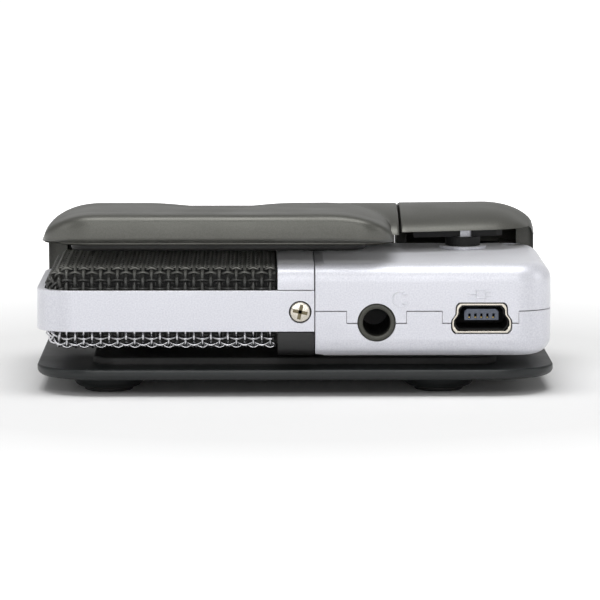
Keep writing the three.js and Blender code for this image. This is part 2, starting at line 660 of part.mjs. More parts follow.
add(mic, "codec_chip", box(chipLeft, chipRight, chipFront, chipBack, chipBottom, chipTop), CHIP);
const crystal = alongZ(evenPlan(24, 29, -11, -9, 0.9), BOARD.top + 0.05, BOARD.top + 1.2, 3);
add(mic, "crystal", crystal, NICKEL);
add(mic, "usb_shell", usbShell(), NICKEL);
const { half, front: tongueFront, bottom: tongueBottom, top: tongueTop } = TONGUE;
const tongue = box(USB.x - half, USB.x + half, tongueFront, USB.back - 0.5, tongueBottom, tongueTop);
add(mic, "usb_tongue", tongue, TONGUE_BLUE);
add(mic, "jack_collar", jackCollar(), OLIVE_METAL);
add(mic, "jack_body", jackBody(), BLACK_PLASTIC);
add(mic, "switch_body", box(8.4, 15.6, 3.4, 7.6, 8.9, BOARD.bottom - 0.1), BLACK_PLASTIC);
add(mic, "status_led", box(LENS.x - 0.8, LENS.x + 0.8, LENS.y - 0.5, LENS.y + 0.5, 12, 12.75), LED_CLEAR);
add(mic, "led_lens", rodZ(LENS.x, LENS.y, LENS.r, MIC.bottom + 0.02, 11.8, 20), LED_CLEAR);
const headScrew = screwUp(HEAD_SCREW.r, 0.7, 0.62, 3.2);
const near = headScrew.rotate([90, 0, 0]).translate([HEAD_SCREW.x, MIC.front + 0.15, HEAD_SCREW.z]);
add(mic, "head_screw_near", near, NICKEL);
const far = headScrew.rotate([-90, 0, 0]).translate([HEAD_SCREW.x, MIC.back - 0.15, HEAD_SCREW.z]);
add(mic, "head_screw_far", far, NICKEL);
HOUSING_SCREWS.forEach(([x, y], i) => {
  const screw = screwUp(1.6, 0.6, 0.7, 6.5).translate([x, y, MIC.top - 0.15]);
  add(mic, `housing_screw_${["left", "right"][i]}`, screw, STEEL);
});
const flange = rodZ(PIVOT.x, PIVOT.y, FLANGE.r, MIC.top + 0.05, FLANGE.top, 32);
const stud = join(flange, rodZ(PIVOT.x, PIVOT.y, 1.65, FLANGE.top - 0.2, ARM_PLATE.top + 0.05));
add(mic, "swivel_stud", stud, SILVER);
add(mic, "swivel_nut", rodZ(PIVOT.x, PIVOT.y, 2.5, ARM_PLATE.top + 0.1, ARM_PLATE.top + 0.65, 6), STEEL);
add(mic, "switch_knob", switchKnob(), BLACK_PLASTIC);

microphone.add(base, jaw, arm, mic);
export default microphone;
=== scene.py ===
"""Looks for the folding clip-on USB microphone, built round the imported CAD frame.
Lengths are in millimetres until they reach a mesh, which is in metres."""

import json
import math

import bmesh
import bpy
import numpy as np
from mathutils import Matrix, Vector


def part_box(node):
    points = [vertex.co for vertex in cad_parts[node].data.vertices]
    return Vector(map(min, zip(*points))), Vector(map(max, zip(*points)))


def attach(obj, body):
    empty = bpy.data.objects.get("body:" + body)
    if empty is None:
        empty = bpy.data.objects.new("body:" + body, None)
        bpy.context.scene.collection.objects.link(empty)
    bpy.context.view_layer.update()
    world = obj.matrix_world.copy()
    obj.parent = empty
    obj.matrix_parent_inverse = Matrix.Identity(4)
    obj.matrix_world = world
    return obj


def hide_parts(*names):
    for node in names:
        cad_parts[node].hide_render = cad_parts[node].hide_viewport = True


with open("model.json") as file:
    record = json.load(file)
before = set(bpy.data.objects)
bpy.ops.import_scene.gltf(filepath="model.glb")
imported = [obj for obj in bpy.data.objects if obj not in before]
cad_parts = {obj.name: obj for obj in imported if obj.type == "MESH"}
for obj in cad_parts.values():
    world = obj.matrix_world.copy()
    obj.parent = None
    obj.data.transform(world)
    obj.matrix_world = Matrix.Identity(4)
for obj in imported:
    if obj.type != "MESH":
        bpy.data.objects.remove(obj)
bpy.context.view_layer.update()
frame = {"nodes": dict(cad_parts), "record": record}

MM = 0.001
SAME_POINT = 1e-6  # metres within which two points are one


def corners(node):
    """A CAD node's lowest and highest corners, in millimetres."""
    low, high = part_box(node)
    return np.array(low) / MM, np.array(high) / MM


# -------------------- mesh tools
def mesh_from(name, verts, faces):
    """An object from points in millimetres and faces of any size."""
    mesh = bpy.data.meshes.new(name)
    mesh.from_pydata([tuple(c * MM for c in v) for v in verts], [], faces)
    obj = bpy.data.objects.new(name, mesh)
    bpy.context.scene.collection.objects.link(obj)
    return tidy(obj)


def tidy(obj):
    """Merges doubles, drops collapsed faces and turns every face outwards."""
    bm = bmesh.new()
    bm.from_mesh(obj.data)
    bmesh.ops.remove_doubles(bm, verts=bm.verts, dist=SAME_POINT)
    bmesh.ops.dissolve_degenerate(bm, dist=SAME_POINT, edges=bm.edges)
    bmesh.ops.recalc_face_normals(bm, faces=bm.faces)
    bm.to_mesh(obj.data)
    bm.free()
    return obj


def loft(name, loops, closed=False):
    """A skin through loops of equal count; its ends are capped, or joined to each other when closed."""
    count = len(loops[0])
    verts = [p for loop in loops for p in loop]
    faces = []
    last = len(loops) if closed else len(loops) - 1
    for k in range(last):
        a, b = k * count, ((k + 1) % len(loops)) * count
        for i in range(count):
            j = (i + 1) % count
            faces.append((a + i, a + j, b + j, b + i))
    if not closed:
        faces.append(tuple(reversed(range(count))))
        faces.append(tuple(range((len(loops) - 1) * count, len(loops) * count)))
    return mesh_from(name, verts, faces)


def rounded(x0, x1, y0, y1, radii, inset=0.0, left=None, steps=8):
    """Points round a rectangle with round corners, from its front left corner to its back left one.
    With left given, that side stays on that x whatever the inset."""
    xa = x0 + inset if left is None else left
    xb, ya, yb = x1 - inset, y0 + inset, y1 - inset
    centres = [(xa, ya, 1, 1), (xb, ya, -1, 1), (xb, yb, -1, -1), (xa, yb, 1, -1)]
    points = []
    for k, ((cx, cy, sx, sy), radius) in enumerate(zip(centres, radii)):
        r = max(radius - inset, 0.05)
        if left is not None and k in (0, 3):
            r = min(r, 0.05)
        for i in range(steps + 1):
            angle = math.pi + k * math.pi / 2 + i / steps * math.pi / 2
            points.append((cx + sx * r + r * math.cos(angle), cy + sy * r + r * math.sin(angle)))
    return points


def rings(name, outline, profile):
    """Lofts outline(inset) through a profile of (inset, z)."""
    return loft(name, [[(x, y, z) for x, y in outline(inset)] for inset, z in profile])


def quarter(inset0, z0, inset1, z1, steps=6):
    """A quarter ellipse that leaves (inset0, z0) upright and arrives flat at (inset1, z1)."""
    points = []
    for i in range(steps + 1):
        a = i / steps * math.pi / 2
        points.append((inset1 + (inset0 - inset1) * math.cos(a), z0 + (z1 - z0) * math.sin(a)))
    return points


def slab(name, outline, z0, z1, edge_low, edge_high):
    """A plate with rounded edges."""
    low = list(reversed(quarter(0, z0 + edge_low, edge_low, z0, 4)))
    high = quarter(0, z1 - edge_high, edge_high, z1, 4)
    return rings(name, outline, low + high)


def lathe(name, profile, centre, axis="z", sides=48, ring=False):
    """Turns (radius, height) points round an axis, with its ends capped or joined in a ring."""
    loops = []
    for radius, height in profile:
        loop = []
        for i in range(sides):
            a = 2 * math.pi * i / sides
            u, v = radius * math.cos(a), radius * math.sin(a)
            place = {"z": (u, v, height), "y": (u, height, v), "x": (height, u, v)}[axis]
            loop.append(tuple(c + p for c, p in zip(centre, place)))
        loops.append(loop)
    return loft(name, loops, closed=ring)


def box(name, x0, x1, y0, y1, z0, z1):
    """A plain block, for cutting tools, tabs and small contacts."""
    return rings(name, lambda inset: [(x0, y0), (x1, y0), (x1, y1), (x0, y1)], [(0, z0), (0, z1)])


def prism_y(name, outline, y0, y1):
    """An (x, z) outline carried along Y."""
    return loft(name, [[(x, y, z) for x, z in outline] for y in (y0, y1)])


def tube(name, path, radius, sides=8, closed=False):
    """A round tube along a list of points."""
    points = [Vector(p) for p in path]
    count = len(points)
    loops = []
    normal = None
    for i, p in enumerate(points):
        ahead = points[(i + 1) % count] if closed else points[min(i + 1, count - 1)]
        behind = points[i - 1] if closed else points[max(i - 1, 0)]
        along = (ahead - behind).normalized()
        if normal is None:
            normal = along.orthogonal().normalized()
        normal = (normal - along * normal.dot(along)).normalized()
        side = along.cross(normal)
        loops.append([
            tuple(p + radius * (normal * math.cos(a) + side * math.sin(a)))
            for a in (2 * math.pi * k / sides for k in range(sides))
        ])
    return loft(name, loops, closed=closed)


def boolean(obj, cutter, operation="DIFFERENCE"):
    """Cuts the cutter away from the object, or adds it, and uses the cutter up."""
    modifier = obj.modifiers.new("cut", "BOOLEAN")
    modifier.operation = operation
    modifier.solver = "EXACT"
    modifier.object = cutter
    applied(obj)
    bpy.data.objects.remove(cutter)
    return obj


def applied(obj):
    """Replaces the object's mesh by what its modifiers make of it."""
    depsgraph = bpy.context.evaluated_depsgraph_get()
    depsgraph.update()
    made = bpy.data.meshes.new_from_object(obj.evaluated_get(depsgraph), depsgraph=depsgraph)
    obj.modifiers.clear()
    old = obj.data
    obj.data = made
    bpy.data.meshes.remove(old)
    return obj


def joined(name, objects):
    """One object from several, each kept as its own closed shell."""
    bm = bmesh.new()
    for obj in objects:
        bm.from_mesh(obj.data)
        bpy.data.objects.remove(obj)
    mesh = bpy.data.meshes.new(name)
    bm.to_mesh(mesh)
    bm.free()
    obj = bpy.data.objects.new(name, mesh)
    bpy.context.scene.collection.objects.link(obj)
    return obj


def soften(obj, angle=32, bevel=0.0):
    """Smooth shading that keeps real edges, which bevel rounds off by that many millimetres."""
    if bevel:
        modifier = obj.modifiers.new("edge", "BEVEL")
        modifier.width = bevel * MM
        modifier.segments = 2
        modifier.limit_method = "ANGLE"
        modifier.angle_limit = math.radians(angle)
        modifier.use_clamp_overlap = True
        applied(obj)
    obj.data.polygons.foreach_set("use_smooth", [True] * len(obj.data.polygons))
    obj.data.set_sharp_from_angle(angle=math.radians(angle))
    weighted = obj.modifiers.new("normals", "WEIGHTED_NORMAL")
    weighted.keep_sharp = True
    return obj


def piece(obj, body, material, nodes=(), slot=None, angle=32, bevel=0.0):
    """Finishes a piece: its shading, its material, the body it rides on and the CAD nodes it stands for."""
    soften(obj, angle, bevel)
    obj.data.materials.clear()
    obj.data.materials.append(MATERIALS[material])
    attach(obj, body)
    if nodes:
        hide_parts(*nodes)
    slot or material
    return obj


# -------------------- materials
def shader(name, color, roughness, metallic=0.0, **inputs):
    material = bpy.data.materials.new(name)
    material.use_nodes = True
    principled = material.node_tree.nodes["Principled BSDF"]
    principled.inputs["Base Color"].default_value = (*color, 1)
    principled.inputs["Roughness"].default_value = roughness
    principled.inputs["Metallic"].default_value = metallic
    for key, value in inputs.items():
        principled.inputs[key.replace("_", " ")].default_value = value
    return material, principled


def coordinates(tree):
    return tree.nodes.new("ShaderNodeTexCoord").outputs["Object"]


def noise(tree, per_mm, detail):
    """Noise with so many grains a millimetre."""
    node = tree.nodes.new("ShaderNodeTexNoise")
    node.inputs["Scale"].default_value = per_mm / MM
    node.inputs["Detail"].default_value = detail
    tree.links.new(coordinates(tree), node.inputs["Vector"])
    return node.outputs["Fac"]


def spread(tree, value, low, high, source_low=0.3, source_high=0.7):
    """Maps a value from its source range to low and high."""
    node = tree.nodes.new("ShaderNodeMapRange")
    node.inputs["From Min"].default_value = source_low
    node.inputs["From Max"].default_value = source_high
    node.inputs["To Min"].default_value = low
    node.inputs["To Max"].default_value = high
    tree.links.new(value, node.inputs["Value"])
    return node.outputs["Result"]


def blended(tree, factor, color_a, color_b):
    node = tree.nodes.new("ShaderNodeMix")
    node.data_type = "RGBA"
    tree.links.new(factor, node.inputs["Factor"])
    node.inputs["A"].default_value = (*color_a, 1)
    node.inputs["B"].default_value = (*color_b, 1)
    return node.outputs["Result"]


def bumped(tree, principled, height, distance):
    """Bump of so many millimetres."""
    node = tree.nodes.new("ShaderNodeBump")
    node.inputs["Distance"].default_value = distance * MM
    node.inputs["Strength"].default_value = 1.0
    tree.links.new(height, node.inputs["Height"])
    tree.links.new(node.outputs["Normal"], principled.inputs["Normal"])


def grainy(name, dark, light, roughness, metallic, grain, bump, rough_spread=0.06, **inputs):
    """A finish whose colour and roughness wander a little, with a fine grain and bump."""
    material, principled = shader(name, light, roughness, metallic, **inputs)
    tree = material.node_tree
    fine = noise(tree, grain, 3.0)
    tree.links.new(blended(tree, spread(tree, fine, 0, 1), dark, light), principled.inputs["Base Color"])
    broad = noise(tree, 0.12, 2.0)
    low, high = roughness - rough_spread, roughness + rough_spread
    tree.links.new(spread(tree, broad, low, high), principled.inputs["Roughness"])
    if bump:
        bumped(tree, principled, fine, bump)
    return material


def cloth(name, dark, light, threads):
    """A fine woven cloth: two crossed sets of threads."""
    material, principled = shader(name, dark, 0.85)
    tree = material.node_tree
    waves = []
    for direction in ("X", "Y"):
        wave = tree.nodes.new("ShaderNodeTexWave")
        wave.bands_direction = direction
        wave.inputs["Scale"].default_value = threads / MM / 20
        tree.links.new(coordinates(tree), wave.inputs["Vector"])
        waves.append(wave.outputs["Fac"])
    both = tree.nodes.new("ShaderNodeMath")
    both.operation = "MULTIPLY"
    for wave, socket in zip(waves, both.inputs):
        tree.links.new(wave, socket)
    tree.links.new(blended(tree, both.outputs[0], dark, light), principled.inputs["Base Color"])
    bumped(tree, principled, both.outputs[0], 0.05)
    return material


def weave_with_painted_top_light():
    """Black wire with painted light: its upward face is painted paler than its sides, standing in for light
    falling on the top.
    """
    material = grainy("black_mesh", (0.042, 0.042, 0.040), (0.064, 0.064, 0.060), 0.36, 0.4, 3, 0.002)
    tree = material.node_tree
    principled = tree.nodes["Principled BSDF"]
    base = principled.inputs["Base Color"].links[0].from_socket
    split = tree.nodes.new("ShaderNodeSeparateXYZ")
    tree.links.new(coordinates(tree), split.inputs["Vector"])
    # painted light: the colour turns paler from 15.9 mm up to 16.9 mm, over the wire's top
    height = spread(tree, split.outputs["Z"], 0.0, 1.0, 15.9 * MM, 16.9 * MM)
    painted_light_mix = tree.nodes.new("ShaderNodeMix")
    painted_light_mix.data_type = "RGBA"
    tree.links.new(height, painted_light_mix.inputs["Factor"])
    tree.links.new(base, painted_light_mix.inputs["A"])
    # the paler colour of the painted light on the top
    painted_light_mix.inputs["B"].default_value = (0.24, 0.24, 0.22, 1)
    tree.links.new(painted_light_mix.outputs["Result"], principled.inputs["Base Color"])
    return material


MATERIALS = {
    "gunmetal": grainy("gunmetal", (0.092, 0.092, 0.082), (0.118, 0.118, 0.106), 0.42, 0.55, 7, 0.004),
    "base_black": grainy("base_black", (0.010, 0.012, 0.012), (0.016, 0.018, 0.019), 0.42, 0.2, 7, 0.004),
    "rubber": grainy("rubber", (0.008, 0.008, 0.008), (0.014, 0.014, 0.013), 0.62, 0.0, 5, 0.012),
    "silver": grainy(
        "silver", (0.56, 0.565, 0.62), (0.68, 0.685, 0.73), 0.40, 0.3, 5, 0.003, Sheen_Weight=0.5
    ),
    "black_plastic": grainy(
        "black_plastic", (0.006, 0.006, 0.006), (0.010, 0.010, 0.010), 0.5, 0.0, 5, 0.006
    ),
    "black_mesh": weave_with_painted_top_light(),
    "chrome_mesh": grainy("chrome_mesh", (0.52, 0.52, 0.54), (0.66, 0.66, 0.68), 0.26, 1.0, 3, 0.002),
    "liner": cloth("liner", (0.004, 0.004, 0.004), (0.035, 0.035, 0.033), 3.2),
    "steel": grainy("steel", (0.42, 0.41, 0.39), (0.56, 0.55, 0.52), 0.32, 1.0, 2, 0.003),
    "nickel": grainy("nickel", (0.58, 0.54, 0.47), (0.70, 0.66, 0.58), 0.24, 1.0, 2, 0.002),
    "olive_metal": grainy("olive_metal", (0.045, 0.045, 0.038), (0.062, 0.062, 0.052), 0.42, 0.5, 5, 0.003),
    "board_green": grainy("board_green", (0.010, 0.07, 0.03), (0.02, 0.12, 0.05), 0.4, 0.0, 1, 0.01),
    "chip": grainy("chip", (0.012, 0.012, 0.013), (0.02, 0.02, 0.022), 0.55, 0.0, 5, 0.006),
    "tongue": grainy("tongue", (0.075, 0.09, 0.125), (0.10, 0.115, 0.155), 0.5, 0.0, 4, 0.004),
    "led_clear": grainy("led_clear", (0.75, 0.79, 0.81), (0.85, 0.88, 0.9), 0.18, 0.0, 2, 0.0, 0.04),
    "wire": grainy("wire", (0.2, 0.012, 0.012), (0.28, 0.02, 0.02), 0.5, 0.0, 3, 0.004),
    "gold": grainy("gold", (0.62, 0.44, 0.16), (0.74, 0.54, 0.22), 0.28, 1.0, 3, 0.002),
    # Dark paint used as painted shade at the bottom of the screw heads' cross recesses.
    "painted_recess_shade": grainy("painted_recess_shade", (0.15, 0.125, 0.07), (0.22, 0.19, 0.12), 0.5, 0.6, 4, 0.002),
    # Near-black used only as painted shade: on parts in the gap under the arm and on a sleeve inside the USB
    # socket.
    "painted_shade_black": grainy("painted_shade_black", (0.002, 0.002, 0.002), (0.004, 0.004, 0.004), 0.7, 0.0, 3, 0.0),
}

# Parts in the gap under the arm get near-black paint as painted shade, in place of their own colours.
PAINTED_SHADE_NODES = {"friction_washer": "painted_shade_black", "arm_plate": "painted_shade_black"}
for node, obj in frame["nodes"].items():
    wanted = next(s["material_slot"] for s in frame["record"]["subparts"] if s["node"] == node)
    obj.data.materials.clear()
    obj.data.materials.append(MATERIALS[PAINTED_SHADE_NODES.get(node, wanted)])

# -------------------- camera and stage
CAMERA_AT = Vector((-4.45, -541.5, 72.8)) * MM
AIM_AT = Vector((0.76, 0, 10.45)) * MM
LENS = 238.7

camera_data = bpy.data.cameras.new("camera")
camera_data.lens = LENS
camera_data.sensor_width = 36
camera_data.clip_start = 0.01
camera = bpy.data.objects.new("camera", camera_data)
camera.location = CAMERA_AT
camera.rotation_euler = (AIM_AT - CAMERA_AT).to_track_quat("-Z", "Y").to_euler()
bpy.context.scene.collection.objects.link(camera)
bpy.context.scene.camera = camera


def area_light(name, at, aim, size, size_y, watts):
    """A soft box at one point, aimed at another."""
    data = bpy.data.lights.new(name, "AREA")
    data.shape = "RECTANGLE"
    data.size, data.size_y, data.energy = size, size_y, watts
    light = bpy.data.objects.new(name, data)
    light.location = at
    light.rotation_euler = (Vector(aim) - Vector(at)).to_track_quat("-Z", "Y").to_euler()
    bpy.context.scene.collection.objects.link(light)


area_light("top_box", (0, -0.10, 0.60), (0, 0, 0), 0.50, 0.40, 3.2)
area_light("front_box", (-0.05, -0.70, 0.42), (0, 0, 0.01), 0.50, 0.25, 1.3)
area_light("low_box", (0, -0.85, 0.12), (0, 0, 0.015), 0.60, 0.10, 1.0)
area_light("back_box", (0, 0.70, 0.30), (0, 0, 0.02), 0.80, 0.30, 0.45)
area_light("left_box", (-0.55, -0.15, 0.20), (0, 0, 0.01), 0.25, 0.30, 0.5)
area_light("right_box", (0.55, -0.10, 0.20), (0, 0, 0.01), 0.25, 0.30, 0.5)

world = bpy.data.worlds.new("studio")
world.use_nodes = True
world.node_tree.nodes["Background"].inputs["Color"].default_value = (1, 1, 1, 1)
world.node_tree.nodes["Background"].inputs["Strength"].default_value = 0.20
bpy.context.scene.world = world
bpy.context.scene.view_settings.view_transform = "Standard"


def floor_finish():
    """Plain white paper, which glows a little more the farther it is from the object, as a lit sweep does."""
    material, principled = shader("pale_floor", (0.78, 0.78, 0.78), 0.9, Specular_IOR_Level=0.0)
    tree = material.node_tree
    distance = tree.nodes.new("ShaderNodeVectorMath")
    distance.operation = "LENGTH"
    tree.links.new(coordinates(tree), distance.inputs[0])
    principled.inputs["Emission Color"].default_value = (1, 1, 1, 1)
    glow = spread(tree, distance.outputs["Value"], 0.0, 0.9, 60 * MM, 260 * MM)
    tree.links.new(glow, principled.inputs["Emission Strength"])
    return material


HALF = 3000
floor_corners = [(-HALF, -HALF, 0), (HALF, -HALF, 0), (HALF, HALF, 0), (-HALF, HALF, 0)]
floor = mesh_from("floor", floor_corners, [(0, 1, 2, 3)])
floor.data.materials.append(floor_finish())

# -------------------- base
plate_low, plate_high = corners("base_plate")
PLATE_BOTTOM, PLATE_TOP, PLATE_CORNER = 2.2, 3.6, 8.5
EDGE_BELOW, EDGE_DEPTH, EDGE_TOP = 0.62, 0.8, 0.3  # the rounding of the plate's edge
FEET = [(name, corners(name)) for name in frame["nodes"] if name.startswith("foot_")]
BARREL = 3.4
LUG_EDGE = 0.25
WEB_BACK = 1.5  # how far a lug's web reaches behind the pin
pin_low, pin_high = corners("hinge_pin")
PIN_Y = (pin_low[1] + pin_high[1]) / 2
PIN_Z = (pin_low[2] + pin_high[2]) / 2
PIN_R = (pin_high[2] - pin_low[2]) / 2
LUGS = ((-24, -15), (22.5, 29))


def base_plate():
    """The plate with its foot bosses and the two lugs that hold the pin."""
    outline = lambda inset: rounded(
        plate_low[0], plate_high[0], plate_low[1], plate_high[1], (PLATE_CORNER,) * 4, inset, steps=16
    )
    low = list(reversed(quarter(0, PLATE_TOP - EDGE_BELOW, EDGE_DEPTH, PLATE_BOTTOM, 6)))
    high = quarter(0, PLATE_TOP - EDGE_TOP, EDGE_TOP, PLATE_TOP, 4)
    plate = rings("base_plate_body", outline, low + high)
    for _, (foot_low, foot_high) in FEET:
        centre = ((foot_low[0] + foot_high[0]) / 2, (foot_low[1] + foot_high[1]) / 2, 0)
        profile = [(4.95, PLATE_BOTTOM + 0.4), (4.95, PLATE_BOTTOM), (4.8, 1.7), (4.62, 1.25), (4.4, 0.92)]
        profile += [(4.1, 0.68), (3.75, 0.54), (3.4, 0.48)]
        boolean(plate, lathe("boss", profile, centre, sides=64), "UNION")
    for x0, x1 in LUGS:
        loops = []
        for x, shrink in ((x0, LUG_EDGE), (x0 + LUG_EDGE, 0), (x1 - LUG_EDGE, 0), (x1, LUG_EDGE)):
            r = BARREL - shrink
            arc = [(PIN_Y + r * math.cos(a), PIN_Z + r * math.sin(a)) for a in np.linspace(-0.1, math.pi, 24)]
            back = PIN_Y + WEB_BACK - shrink
            web = [(PIN_Y - r, PLATE_TOP - 0.4), (back, PLATE_TOP - 0.4), (back, PIN_Z - 2.6)]
            loops.append([(x, y, z) for y, z in arc + web])
        boolean(plate, loft("lug", loops), "UNION")
    return piece(plate, "base", "base_black", ["base_plate"], bevel=0.0)


def base_pad():
    low, high = corners("base_grip_pad")
    outline = lambda inset: rounded(low[0], high[0], low[1], high[1], (3,) * 4, inset, steps=8)
    pad = slab("base_pad_ribbed", outline, low[2] - 0.03, high[2], 0.05, 0.3)
    return piece(pad, "base", "rubber", ["base_grip_pad"])


def feet():
    """Rubber discs with a soft lower edge."""
    for name, (low, high) in FEET:
        centre = ((low[0] + high[0]) / 2, (low[1] + high[1]) / 2, 0)
        profile = [(2.75, 0.0), (3.05, 0.03), (3.2, 0.12), (3.25, 0.25), (3.25, 0.5)]
        disc = lathe(name + "_pad", profile, centre, sides=56)
        piece(disc, "base", "rubber", [name])


def springs():
    """Torsion springs: a coil round the pin, one leg down to the plate and one up to the jaw."""
    for name in ("clip_spring_left", "clip_spring_right"):
        low, high = corners(name)
        turns, wire, radius = 6, 0.36, 1.95
        x0, x1 = low[0] + wire, high[0] - wire
        path = [(x0, PIN_Y - radius, low[2] + wire), (x0, PIN_Y - radius, PIN_Z - 1.2)]
        samples = turns * 20
        for i in range(samples + 1):
            a = math.pi + 2 * math.pi * i / samples * turns
            x = x0 + (x1 - x0) * i / samples
            path.append((x, PIN_Y + radius * math.cos(a), PIN_Z - radius * math.sin(a)))
        path += [(x1, PIN_Y - radius, PIN_Z + 1.2), (x1, PIN_Y - radius, high[2] - wire)]
        piece(tube(name + "_coil", path, wire, 10), "base", "steel", [name])


def pin():
    ends = [(0.9, pin_low[0]), (PIN_R, pin_low[0] + 0.35), (PIN_R, pin_high[0] - 0.35), (0.9, pin_high[0])]
    rod = lathe("hinge_pin_rod", ends, (0, PIN_Y, PIN_Z), "x", 40)
    piece(rod, "base", "steel", ["hinge_pin"])


base_plate()
base_pad()
feet()
springs()
pin()

# -------------------- clip: jaw and arm
WALL_INNER = 19.2
WALL_BOTTOM = PIN_Z - BARREL
REAR = 21.5
SHELL = 1.35
CREST_Y = 4.0
ROOF_END = 16.8
REAR_CORNER_Z = 17.8
SLOT_TOPS = {"jaw_slot": 19.0, "arm_slot": 16.2}


def smooth(t):
    t = min(max(t, 0.0), 1.0)
    return t * t * (3 - 2 * t)


def rounding(t):
    """0 to 1 along a quarter ellipse, as t goes from 0 to 1."""
    t = min(max(t, 0.0), 1.0)
    return 1 - math.sqrt(1 - t ** 2.1)


def bezier(a, b, c, steps):
    points = []
    for i in range(steps + 1):
        t = i / steps
        points.append(tuple(p * (1 - t) ** 2 + 2 * q * t * (1 - t) + r * t * t for p, q, r in zip(a, b, c)))
    return points


def clip_loop(x, front, roof, kind, rim, fall=0.0, rear=REAR):
    """One closed section at x. front runs from the rim over the nose to the crest; roof gives z behind it."""
    outer = list(front)
    crest = front[-1][0]
    for i in range(1, 11):
        y = crest + (ROOF_END - crest) * i / 10
        outer.append((y, roof(y)))
    edge = roof(ROOF_END)
    drop = max(edge - REAR_CORNER_Z + 0.8 * fall, 0.3)
    for i in range(1, 9):
        a = i / 8 * math.pi / 2
        outer.append((ROOF_END + (rear - ROOF_END) * math.sin(a), edge - drop * (1 - math.cos(a))))
    bottom = SLOT_TOPS.get(kind, WALL_BOTTOM)
    lowest = edge - drop
    outer += [(rear, min(bottom + 0.6, lowest)), (rear - 0.12, min(bottom + 0.18, lowest))]
    outer.append((rear - 0.5, bottom))
    outer = [(y, max(z, bottom) if y > ROOF_END else z) for y, z in outer]
    nose = min(range(len(front)), key=lambda i: front[i][0])
    ys, zs = zip(*outer[nose:nose + len(front) - nose + 10])
    first = ys[0]
    if kind == "end":
        below = lambda y: min(rim + 0.01, float(np.interp(y, ys, zs)) - 0.15)
        climb = below(13.0) - WALL_BOTTOM
        inner = [(14.5 - 1.5 * i / 13, WALL_BOTTOM + climb * i / 13) for i in range(14)]
        ceiling = [(y, below(y)) for y in (12.9 + (first + 1.5 - 12.9) * i / 16 for i in range(17))]
    else:
        if kind == "knuckle":
            arc = np.linspace(-math.pi / 2, -3 * math.pi / 2 + 0.25, 14)
            inner = [(PIN_Y + BARREL * math.cos(a), PIN_Z + BARREL * math.sin(a)) for a in arc]
        else:
            inner = [(WALL_INNER, bottom + i * 0.02) for i in range(14)]
        ceiling = [(WALL_INNER, max(lowest - 0.3, bottom + 0.5))]
        ceiling.append((WALL_INNER - 0.9, edge - 0.45 * drop - 0.8))
        for i in range(15):
            y = ROOF_END + (first + 1.5 - ROOF_END) * i / 14
            ceiling.append((y, max(float(np.interp(y, ys, zs)) - SHELL, rim + 0.25)))
    lip = [(first + 1.35, rim + 0.12), (first + 1.1, rim)]
    return [(x, y, z) for y, z in outer + inner + ceiling + lip]


def stations(spans, step):
    """The x and kind of every section, with two where the kind changes."""
    made = []
    for x0, x1, kind in spans:
        count = max(int((x1 - x0) / step), 2)
        made += [(x0 + (x1 - x0) * i / count, kind) for i in range(count + 1)]
    return made


# Jaw
JAW_RIM = 20.06
JAW_LEFT, JAW_RIGHT = -34.3, 14.1
LOBE_RIGHT = 13.0
JAW_SPANS = (
    (JAW_LEFT, -31.7, "end"), (-31.7, -24.3, "knuckle"), (-24.3, -14.7, "jaw_slot"), (-14.7, -9.3, "knuckle"),
    (-9.3, 3.3, "jaw_slot"), (3.3, 11.9, "knuckle"), (11.9, LOBE_RIGHT, "end"),
)
STRIP_EDGE = (
    (LOBE_RIGHT + 0.02, 0.0), (13.5, 0.0), (13.8, 0.0), (13.95, 0.05), (14.05, 0.13), (JAW_RIGHT, 0.26),
)
NOSE = -21.5  # front edge of the lobe
FACE = 4.7  # from the nose back to the crease where the face meets the roof
FACE_POWER = 0.4  # the smaller, the squarer the turn at the crease
BEAM_FRONT = -6.8  # front edge of the rear beam


def jaw_roof(x):
    """The height of the jaw's roof over y, with the thumb scoop in its middle."""
    far = 4.3 * rounding((-26.3 - x) / 8.0)
    across = math.cos(math.pi / 2 * min(abs(x + 10.0) / 10.2, 1)) ** 2
    rise = 0.05 * smooth((x + 1) / 12)

    def roof(y):
        crown = 24.35 - 0.0042 * (min(y, CREST_Y) + 11) ** 2 - 0.115 * max(y - CREST_Y, 0)
        scoop = 0.6 * across * smooth((y + 15) / 8) * smooth((17 - y) / 8)
        return crown + rise - scoop - far

    return roof


def jaw_beam(roof):
    """The sloping front of the rear beam, as (y, z) points from its rim to the crest."""
    top = roof(CREST_Y)
    return bezier((BEAM_FRONT, JAW_RIM), (-5.5, JAW_RIM + 0.7 * (top - JAW_RIM)), (CREST_Y, top), 19)


def lobe_front_edge(x):
    """The y of the front edge of the lobe: straight, with round plan corners."""
    left = 7.0 * (1 - math.sqrt(1 - min(max((-26.65 - x) / 7.65, 0), 1) ** 2))
    right = 4.5 * (1 - math.sqrt(1 - min(max((x - LOBE_RIGHT + 4.5) / 4.5, 0), 1) ** 2))
    return NOSE + left + right


